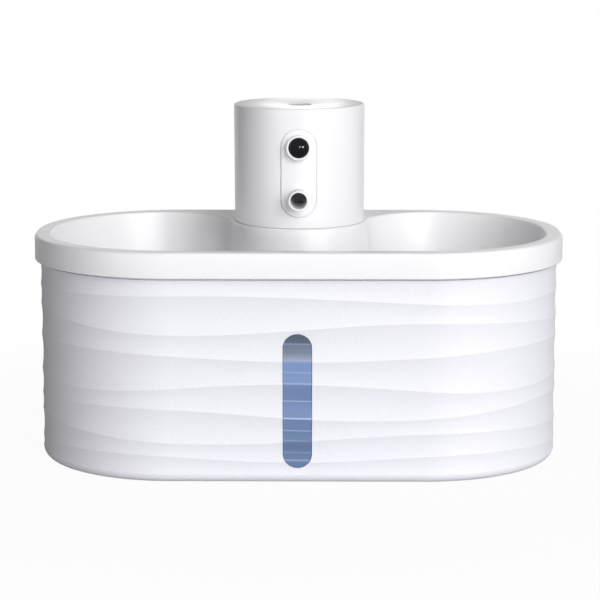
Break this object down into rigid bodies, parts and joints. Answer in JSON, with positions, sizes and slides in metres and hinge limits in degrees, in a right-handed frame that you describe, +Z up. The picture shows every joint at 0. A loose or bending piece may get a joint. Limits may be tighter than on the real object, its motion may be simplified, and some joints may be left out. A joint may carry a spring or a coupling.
{
  "type": "pet drinking fountain",
  "caption": "Cordless pet drinking fountain: fluted tank with a blue level window, a lift-off two-ended drinking tray, and a round tower with motion sensor, spout and pump stem.",
  "frame": {"origin": "on the floor under the middle of the tank", "axes": "+Z up, +X to the right seen from the front, the front with window and spout faces -Y"},
  "size_m": [0.27, 0.154, 0.1785],
  "materials": {
    "gloss_white": "glossy white moulding",
    "matte_white": "matte white moulding with fine grain",
    "window_blue": "clear blue window",
    "lens_black": "glossy black lens",
    "button_grey": "satin grey key",
    "rubber_grey": "soft grey rubber",
    "seal_silicone": "milky silicone",
    "filter_plastic": "pale grey moulding",
    "filter_foam": "open grey foam",
    "carbon_black": "black carbon pad",
    "board_green": "green circuit board",
    "switch_black": "black moulding",
    "steel": "plain steel",
    "battery_film": "blue shrink film",
    "inner_plastic": "white moulding",
    "pump_grey": "dark grey moulding",
    "shaft_ceramic": "white ceramic",
    "magnet_dark": "dark sintered magnet",
    "cable_black": "black sheath"
  },
  "bodies": {
    "tank": {"tank_shell": "matte_white", "level_window": "window_blue", "window_gasket": "seal_silicone", "rubber_feet": "rubber_grey"},
    "tray": {"drinking_tray": "gloss_white"},
    "cartridge": {"filter_cup": "filter_plastic", "filter_foam": "filter_foam", "carbon_pad": "carbon_black", "strainer_lid": "filter_plastic"},
    "tower": {"tower_shell": "gloss_white", "sensor_plate": "gloss_white", "sensor_collar": "gloss_white", "sensor_lens": "lens_black", "sensor_can": "steel", "sensor_board": "board_green", "water_spout": "gloss_white", "spout_seal": "seal_silicone", "button_switch": "switch_black", "main_board": "board_green", "board_screws": "steel", "charge_socket": "steel", "battery_cradle": "inner_plastic", "battery_pack": "battery_film", "battery_leads": "switch_black", "stem_housing": "inner_plastic", "base_seal": "seal_silicone", "base_screws": "steel", "pump_housing": "pump_grey", "pump_cover": "pump_grey", "pump_screws": "steel", "pump_shaft": "shaft_ceramic", "riser_hose": "seal_silicone", "pump_cable": "cable_black"},
    "button": {"mode_button": "button_grey"},
    "rotor": {"impeller": "pump_grey", "rotor_magnet": "magnet_dark"},
    "port_flap": {"port_cover": "rubber_grey"}
  },
  "joints": [
    {"name": "tray_lift", "type": "slide", "parent": "tank", "child": "tray", "axis": [0, 0, 1], "range_m": [0, 0.13]},
    {"name": "tower_lift", "type": "slide", "parent": "tray", "child": "tower", "axis": [0, 0, 1], "range_m": [0, 0.13]},
    {"name": "cartridge_lift", "type": "slide", "parent": "tray", "child": "cartridge", "axis": [0, 0, 1], "range_m": [0, 0.06]},
    {"name": "button_press", "type": "slide", "parent": "tower", "child": "button", "axis": [0, 0, -1], "range_m": [0, 0.0008], "stiffness_N_per_m": 600},
    {"name": "impeller_spin", "type": "hinge", "parent": "tower", "child": "rotor", "pos_m": [0, 0.037, 0.02], "axis": [0, 0, 1], "continuous": true},
    {"name": "port_flap_swing", "type": "hinge", "parent": "tower", "child": "port_flap", "pos_m": [-0.0066, 0.07049, 0.16615], "axis": [0, 0, 1], "range_deg": [0, 100]}
  ]
}
